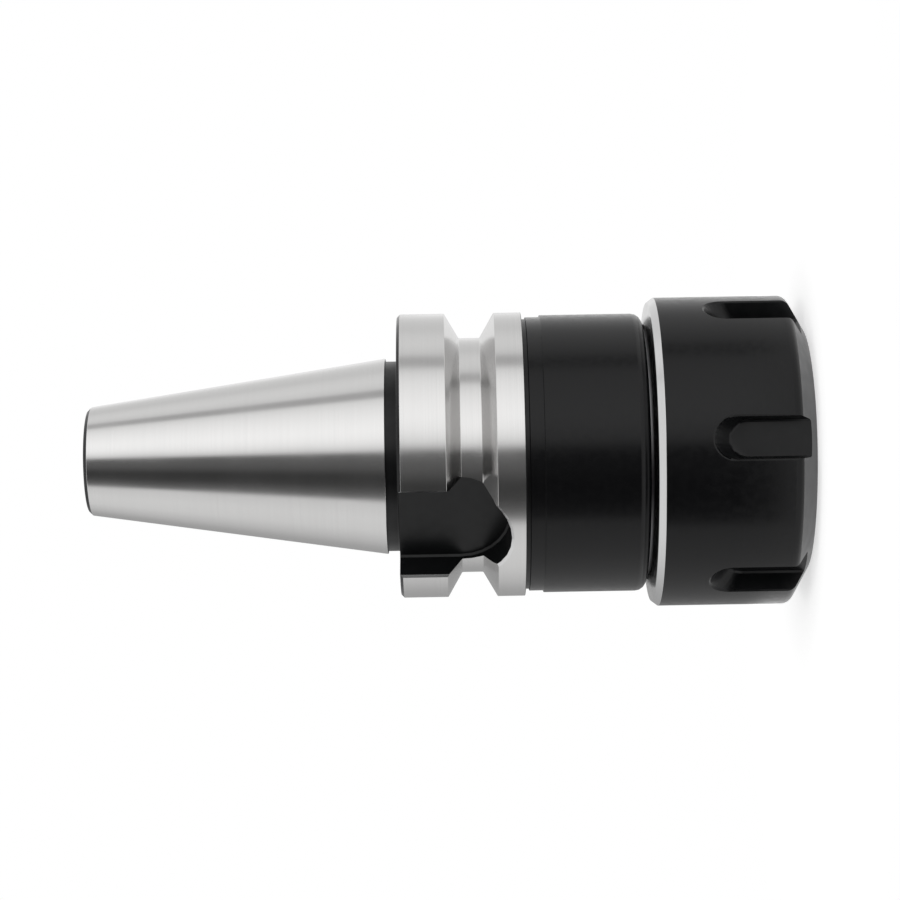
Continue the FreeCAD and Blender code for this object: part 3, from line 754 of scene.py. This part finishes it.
def spannerSlotCutters(v):
    turns = [v["firstSlot"] + 360 / v["slots"] * k for k in range(v["slots"])]

    def outlineAt(level, grow):
        # the slot's outline at a distance from the axis, made larger all round
        share = (level - v["slotFloor"]) / (v["outside"] - v["slotFloor"])
        half = v["floorHalfWidth"] + (v["mouthHalfWidth"] - v["floorHalfWidth"]) * share
        end = v["floorEnd"] + (v["mouthEnd"] - v["floorEnd"]) * share
        return slotOutline(half + grow, end + grow, -1)

    floor, corner, reach = v["slotFloor"], v["slotCorner"], v["slotReach"]
    bevel, inset, overrun = v["slotBevel"], v["bevelInset"], v["bevelOverrun"]
    low, high = v["outside"] - bevel - inset, v["outside"] + overrun
    slotRings = [
        (outlineAt(floor, -corner), floor, False),
        (outlineAt(floor + corner, 0), floor + corner, False),
        (outlineAt(reach, 0), reach, False),
    ]
    bevelRings = [(outlineAt(low, -inset), low, True), (outlineAt(high, bevel + overrun), high, True)]
    return [
        skinCutter("spannerSlots", slotRings, turns, ["blackSlot", "blackSlot"]),
        skinCutter("spannerBevels", bevelRings, turns, ["blackOxide", "blackOxide"]),
    ]


def lipCutter(v, steps=96):
    # the lip's opening lies off centre, a quarter turn past the first slot
    aside = math.radians(v["firstSlot"] + 90)
    x, y = v["lipOffset"] * math.cos(aside), v["lipOffset"] * math.sin(aside)
    opening = []
    for k in range(steps):
        angle = 2 * math.pi * k / steps
        opening.append((x + v["lipBore"] * math.cos(angle), y + v["lipBore"] * math.sin(angle)))
    low, high = v["lipFoot"] - v["lipOverrun"], v["lipTop"] + v["lipOverrun"]
    return plateCutter("lipOpening", opening, low, high, "boredSteel")


def buildNut(v):
    piece, points = latheMesh("nutSteel", nutCorners(v), v["segments"])
    cutAway(piece, spannerSlotCutters(v) + [lipCutter(v)])
    smoothTurned(piece, points, smoothing)
    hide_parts("clamping_nut")
    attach(piece, "nut")
    ridge = threadRidge("nutThread", v["thread"], "boredSteel", threadForm)
    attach(ridge, "nut")


buildNut(nutLook)
print("nut built")

# radii and lengths, in mm
colletLook = {
    "segments": 160,
    "length": 40.0,
    "bore": 8.0,
    "boreChamfer": 0.5,
    "rearChamfer": 0.6,
    "headLand": 0.3,
    "grooveFloor": 14.3,
    "cuts": 8,
    "cutHalfWidth": 0.5,
    "cutReach": (3, 18),  # a cut's nearest and farthest point from the axis
    "frontBridge": 5.5,
    "rearBridge": 4.0,
    "cutOverrun": 1.0,
}


def colletCorners(v):
    f, head, groove = seating["colletFace"], seating["head"], v["grooveFloor"]
    coneStart = f + seating["headLength"]
    rim = f + seating["headCone"] + v["headLand"]
    top = f + v["length"]
    rear = longConeRadius(top - v["rearChamfer"])
    return [
        (v["bore"] + v["boreChamfer"], f, 0.08, "springSteel", "springSteel"),
        (faceRadius, f, 0.12, "springSteel", "springSteel"),
        (head, f + seating["headCone"], 0.1, "springSteel", "springSteel"),
        (head, rim, 0.1, "springSteel", "springSteel"),
        (groove, rim, 0.2, "boredSteel", "boredSteel"),
        (groove, coneStart, 0.2, "boredSteel", "boredSteel"),
        (seating["longCone"], coneStart, 0.12, "springSteel", "springSteel"),
        (rear, top - v["rearChamfer"], 0.1, "springSteel", "springSteel"),
        (rear - v["rearChamfer"], top, 0.1, "springSteel", "springSteel"),
        (v["bore"] + v["boreChamfer"], top, 0.1, "springSteel", "springSteel"),
        (v["bore"], top - v["boreChamfer"], 0.1, "springSteel", "springSteel"),
        (v["bore"], f + v["boreChamfer"], 0.1, "springSteel", "springSteel"),
    ]


def sawCutter(name, low, high, firstStep, v):
    half = v["cutHalfWidth"]
    outline = [(-half, low), (-half, high), (half, high), (half, low)]
    turns = [360 / v["cuts"] * (k + firstStep) for k in range(v["cuts"])]
    return skinCutter(name, [(outline, reach, False) for reach in v["cutReach"]], turns, ["boredSteel"])


def buildCollet(v):
    f, top = seating["colletFace"], seating["colletFace"] + v["length"]
    piece, points = latheMesh("colletSteel", colletCorners(v), v["segments"])
    cutAway(piece, [
        sawCutter("frontCuts", -v["cutOverrun"], top - v["rearBridge"], 0, v),
        sawCutter("rearCuts", f + v["frontBridge"], top + v["cutOverrun"], 0.5, v),
    ])
    smoothTurned(piece, points, smoothing)
    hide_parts("collet")
    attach(piece, "collet")


buildCollet(colletLook)
print("collet built")

studio = {
    "view": 305.35,      # direction of the camera round the axis, in degrees from +X
    "distance": 450.0,
    "cameraHeight": gauge - 10.24,
    "lens": 110.68,
    "sensor": 36,
    "clip": (0.01, 20),  # metres
    "tilt": 0.0019,      # radians
    "roll": 0.0174,
    "background": 1.0,
    "glossySky": 0.9,
    "fill": 0.6,
    "lampSide": 40,      # degrees to the right of the camera
    "lampRise": 0.5,     # metres
    "lampSize": 1.0,     # metres
    "lampPower": 0.5 * math.pi,
    "floorRadius": 0.11,  # metres
    "floorFade": (0.05, 0.105),
    "floorGlow": 0.6,
    "panelRadius": 900.0,
    "panelReach": (-1200.0, 1300.0),
    # what the steel mirrors all round: degrees to the right of the camera, and brightness there
    "surround": [
        (-180, 0.42), (-160, 0.40), (-140, 0.50), (-120, 0.70), (-100, 0.87), (-80, 0.91), (-57, 0.84),
        (-52, 0.22), (-46, 0.13), (-36, 0.06), (-24, 0.045), (-12, 0.12), (3, 0.15), (7, 0.85), (13, 1.12),
        (22, 1.29), (32, 1.34), (45, 1.27), (60, 1.14), (72, 0.97), (76, 0.5), (84, 0.5), (88, 0.86),
        (100, 0.94), (110, 0.9), (122, 0.79), (138, 0.83), (150, 0.92), (160, 1.04), (180, 0.8),
    ],
}


def around(angle, reach=1.0):
    return Vector((math.cos(math.radians(angle)), math.sin(math.radians(angle)), 0)) * reach


def buildWorld(v):
    world = bpy.data.worlds.new("studioSky")
    bpy.context.scene.world = world
    world.use_nodes = True
    nodes, links = world.node_tree.nodes, world.node_tree.links
    sky = nodes["Background"]
    sky.inputs["Color"].default_value = (1, 1, 1, 1)
    path = nodes.new("ShaderNodeLightPath")
    backdrop, mirrored = v["background"] - v["fill"], v["glossySky"] - v["fill"]
    seen = mathNode(nodes, links, "MULTIPLY", path.outputs["Is Camera Ray"], backdrop)
    gloss = mathNode(nodes, links, "MULTIPLY", path.outputs["Is Glossy Ray"], mirrored)
    through = mathNode(nodes, links, "MULTIPLY", path.outputs["Is Transmission Ray"], backdrop)
    both = mathNode(nodes, links, "ADD", seen, gloss)
    every = mathNode(nodes, links, "ADD", both, through)
    links.new(mathNode(nodes, links, "ADD", every, v["fill"]), sky.inputs["Strength"])


def buildSurround(v):
    # bright and dark studio panels that only show in reflections
    segments, reach = 96, v["panelRadius"] * mm
    spots = []
    for height in v["panelReach"]:
        for k in range(segments):
            spot = around(360 * k / segments, reach)
            spots.append((spot.x, spot.y, height * mm))
    faces = [(k, (k + 1) % segments, segments + (k + 1) % segments, segments + k) for k in range(segments)]
    mesh = bpy.data.meshes.new("studioPanels")
    mesh.from_pydata(spots, [], faces)
    material = bpy.data.materials.new("studioPanels")
    material.use_nodes = True
    nodes, links = material.node_tree.nodes, material.node_tree.links
    nodes.remove(nodes["Principled BSDF"])
    place = nodes.new("ShaderNodeTexCoord")
    split = nodes.new("ShaderNodeSeparateXYZ")
    links.new(place.outputs["Object"], split.inputs[0])
    turned = mathNode(nodes, links, "ARCTAN2", split.outputs["Y"], split.outputs["X"])
    share = mathNode(nodes, links, "MULTIPLY_ADD", turned, 1 / (2 * math.pi), 0.5)
    ramp = nodes.new("ShaderNodeValToRGB")
    stops = ramp.color_ramp.elements
    brightest = max(level for _, level in v["surround"])
    while len(stops) < len(v["surround"]):
        stops.new(1.0)
    for stop, (angle, level) in zip(stops, v["surround"]):
        stop.position = angle / 360 + 0.5
        stop.color = [level / brightest] * 3 + [1]
    links.new(share, ramp.inputs["Fac"])
    glow = nodes.new("ShaderNodeEmission")
    glow.inputs["Strength"].default_value = brightest
    links.new(ramp.outputs["Color"], glow.inputs["Color"])
    links.new(glow.outputs[0], nodes["Material Output"].inputs["Surface"])
    mesh.materials.append(material)
    panels = bpy.data.objects.new("studioPanels", mesh)
    panels.rotation_euler.z = math.radians(v["view"])
    bpy.context.collection.objects.link(panels)
    panels.visible_camera = False
    panels.visible_diffuse = False
    panels.visible_shadow = False
    panels.visible_transmission = False


def buildLamp(v):
    # one large soft lamp from the upper right, for matt surfaces and the shadow on the floor
    light = bpy.data.lights.new("softLamp", "AREA")
    light.shape = "SQUARE"
    light.size = v["lampSize"]
    light.energy = v["lampPower"]
    lamp = bpy.data.objects.new("softLamp", light)
    aim = Vector((0, 0, boundsAtLoad[1][2] / 2))
    side = around(v["view"] + v["lampSide"], v["panelRadius"] * mm)
    lamp.location = aim + side + Vector((0, 0, v["lampRise"]))
    lamp.rotation_euler = (aim - lamp.location).to_track_quat("-Z", "Y").to_euler()
    lamp.visible_glossy = False
    bpy.context.collection.objects.link(lamp)


def buildFloor(v):
    # a pale disc that takes the shadow and fades out towards its rim
    bpy.ops.mesh.primitive_circle_add(vertices=96, radius=v["floorRadius"], fill_type="NGON")
    floor = bpy.context.object
    floor.name = "floorDisc"
    material = bpy.data.materials.new("paleFloor")
    material.use_nodes = True
    nodes, links = material.node_tree.nodes, material.node_tree.links
    nodes.remove(nodes["Principled BSDF"])
    matt = nodes.new("ShaderNodeBsdfDiffuse")
    matt.inputs["Color"].default_value = (0.8, 0.8, 0.8, 1)
    glow = nodes.new("ShaderNodeEmission")
    path = nodes.new("ShaderNodeLightPath")
    either = mathNode(nodes, links, "MAXIMUM", path.outputs["Is Camera Ray"], path.outputs["Is Glossy Ray"])
    links.new(mathNode(nodes, links, "MULTIPLY", either, v["floorGlow"]), glow.inputs["Strength"])
    both = nodes.new("ShaderNodeAddShader")
    links.new(matt.outputs[0], both.inputs[0])
    links.new(glow.outputs[0], both.inputs[1])
    clear = nodes.new("ShaderNodeBsdfTransparent")
    place = nodes.new("ShaderNodeTexCoord")
    reach = nodes.new("ShaderNodeVectorMath")
    reach.operation = "LENGTH"
    links.new(place.outputs["Object"], reach.inputs[0])
    fade = nodes.new("ShaderNodeMapRange")
    fade.interpolation_type = "SMOOTHSTEP"
    fade.inputs["From Min"].default_value, fade.inputs["From Max"].default_value = v["floorFade"]
    links.new(reach.outputs["Value"], fade.inputs["Value"])
    mix = nodes.new("ShaderNodeMixShader")
    links.new(fade.outputs[0], mix.inputs["Fac"])
    links.new(both.outputs[0], mix.inputs[1])
    links.new(clear.outputs[0], mix.inputs[2])
    links.new(mix.outputs[0], nodes["Material Output"].inputs["Surface"])
    floor.data.materials.append(material)


def buildCamera(v):
    # the camera lies on its side, so that the taper shows on the left
    toAxis, away = -around(v["view"]), around(v["view"])
    right, up = Vector((0, 0, -1)), around(v["view"] + 90)
    tilt, roll = v["tilt"], v["roll"]
    forward = toAxis * math.cos(tilt) + up * math.sin(tilt)
    seenRight = right * math.cos(roll) - (up * math.cos(tilt) - toAxis * math.sin(tilt)) * math.sin(roll)
    seenUp = seenRight.cross(forward).normalized()
    turn = Matrix((seenRight.normalized(), seenUp, -forward)).transposed()
    data = bpy.data.cameras.new("studioCamera")
    data.sensor_width = v["sensor"]
    data.lens = v["lens"]
    data.clip_start, data.clip_end = v["clip"]
    camera = bpy.data.objects.new("studioCamera", data)
    place = away * v["distance"] * mm + Vector((0, 0, v["cameraHeight"] * mm))
    camera.matrix_world = Matrix.Translation(place) @ turn.to_4x4()
    bpy.context.collection.objects.link(camera)
    bpy.context.scene.camera = camera


buildWorld(studio)
buildSurround(studio)
buildLamp(studio)
buildFloor(studio)
buildCamera(studio)
bpy.context.scene.view_settings.view_transform = "Standard"
print("studio ready")
